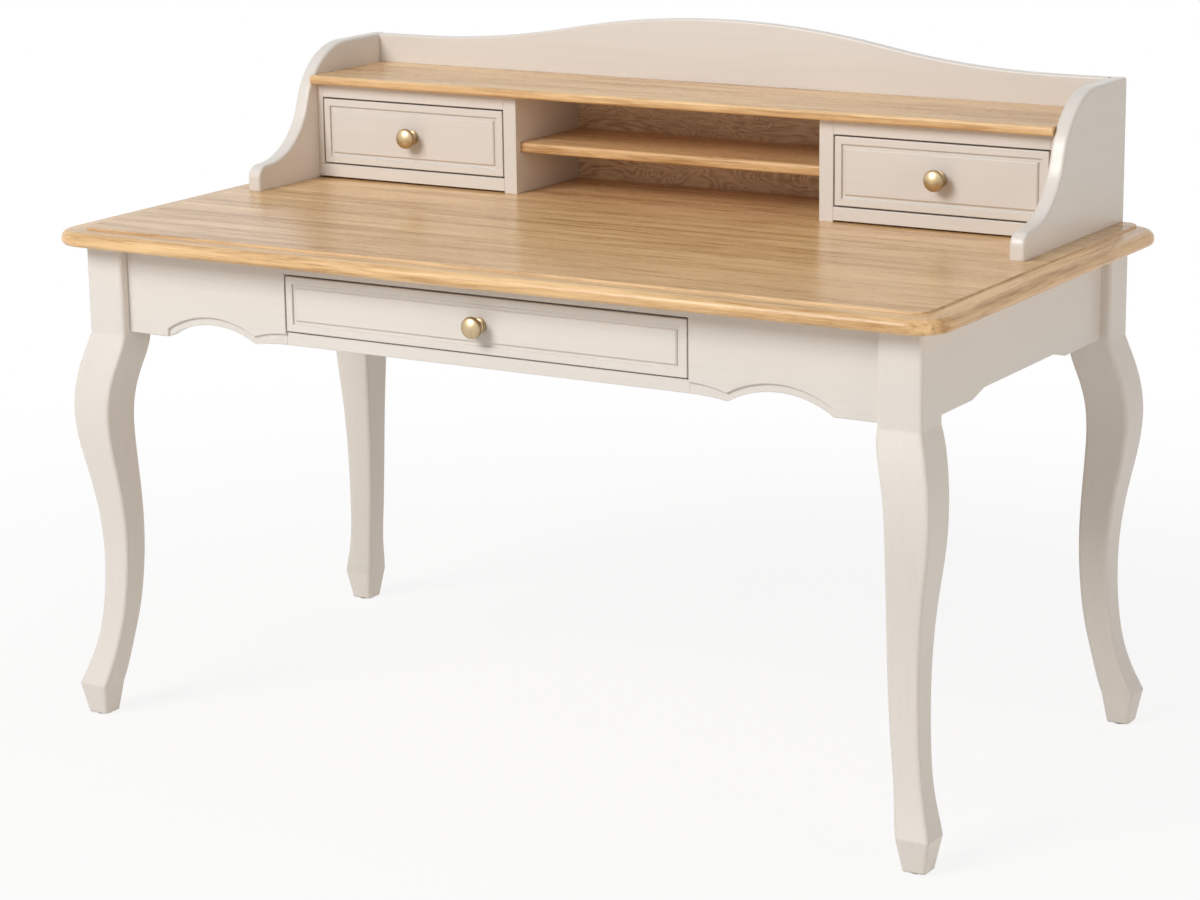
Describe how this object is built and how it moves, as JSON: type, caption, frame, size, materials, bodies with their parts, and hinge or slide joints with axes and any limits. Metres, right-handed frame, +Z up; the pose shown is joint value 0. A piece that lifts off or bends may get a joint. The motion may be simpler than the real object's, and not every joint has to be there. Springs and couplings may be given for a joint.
{
  "type": "writing desk",
  "caption": "Country writing desk with an oak top, painted cabriole legs, scalloped aprons, a wide front drawer and a low hutch with drawers, cubbies and an arched crest.",
  "frame": {"origin": "on the floor under the middle of the desk top", "axes": "+X to the right of someone sitting at the desk, +Y from the front to the hutch's back, +Z up"},
  "size_m": [1.46, 0.776, 1.0259],
  "materials": {
    "paint": "satin oyster paint on wood",
    "oak": "satin golden oak veneer",
    "inner_wood": "bare pale softwood",
    "drawer_wood": "clear matt lacquer",
    "plywood": "bare birch plywood",
    "brass": "satin brass",
    "steel": "zinc plated",
    "glide": "dark nylon"
  },
  "bodies": {
    "stand": {"leg_front_left": "paint", "leg_front_right": "paint", "leg_back_left": "paint", "leg_back_right": "paint", "front_apron_left": "paint", "front_apron_right": "paint", "front_top_rail": "paint", "front_bottom_rail": "paint", "side_apron_left": "paint", "side_apron_right": "paint", "back_apron": "paint", "hutch_side_left": "paint", "hutch_side_right": "paint", "hutch_divider_left": "paint", "hutch_divider_right": "paint", "crest_board": "paint", "hutch_stiles": "paint", "hutch_top_rail_left": "paint", "hutch_top_rail_right": "paint", "hutch_bottom_rail_left": "paint", "hutch_bottom_rail_right": "paint", "desk_top": "oak", "hutch_shelf": "oak", "cubby_shelf": "oak", "hutch_back_panel": "oak", "corner_blocks": "inner_wood", "drawer_runner_left": "inner_wood", "drawer_runner_right": "inner_wood", "drawer_kickers": "inner_wood", "drawer_stops": "inner_wood", "rail_dowels": "inner_wood", "hutch_floor_left": "inner_wood", "hutch_floor_right": "inner_wood", "hutch_guides": "inner_wood", "hutch_kickers": "inner_wood", "hutch_dowels": "inner_wood", "leg_bolts": "steel", "leg_nuts": "steel", "corner_block_screws": "steel", "top_screws": "steel", "hutch_screws": "steel", "foot_glides": "glide"},
    "centre_drawer": {"centre_drawer_front": "paint", "centre_drawer_sides": "drawer_wood", "centre_drawer_back": "drawer_wood", "centre_drawer_bottom": "plywood", "centre_drawer_knob": "brass", "centre_drawer_knob_screw": "steel"},
    "left_drawer": {"left_drawer_front": "paint", "left_drawer_sides": "drawer_wood", "left_drawer_back": "drawer_wood", "left_drawer_bottom": "plywood", "left_drawer_knob": "brass", "left_drawer_knob_screw": "steel"},
    "right_drawer": {"right_drawer_front": "paint", "right_drawer_sides": "drawer_wood", "right_drawer_back": "drawer_wood", "right_drawer_bottom": "plywood", "right_drawer_knob": "brass", "right_drawer_knob_screw": "steel"}
  },
  "joints": [
    {"name": "centre_drawer_slide", "type": "slide", "parent": "stand", "child": "centre_drawer", "axis": [0, -1, 0], "range_m": [0, 0.3]},
    {"name": "left_drawer_slide", "type": "slide", "parent": "stand", "child": "left_drawer", "axis": [0, -1, 0], "range_m": [0, 0.11]},
    {"name": "right_drawer_slide", "type": "slide", "parent": "stand", "child": "right_drawer", "axis": [0, -1, 0], "range_m": [0, 0.11]}
  ]
}
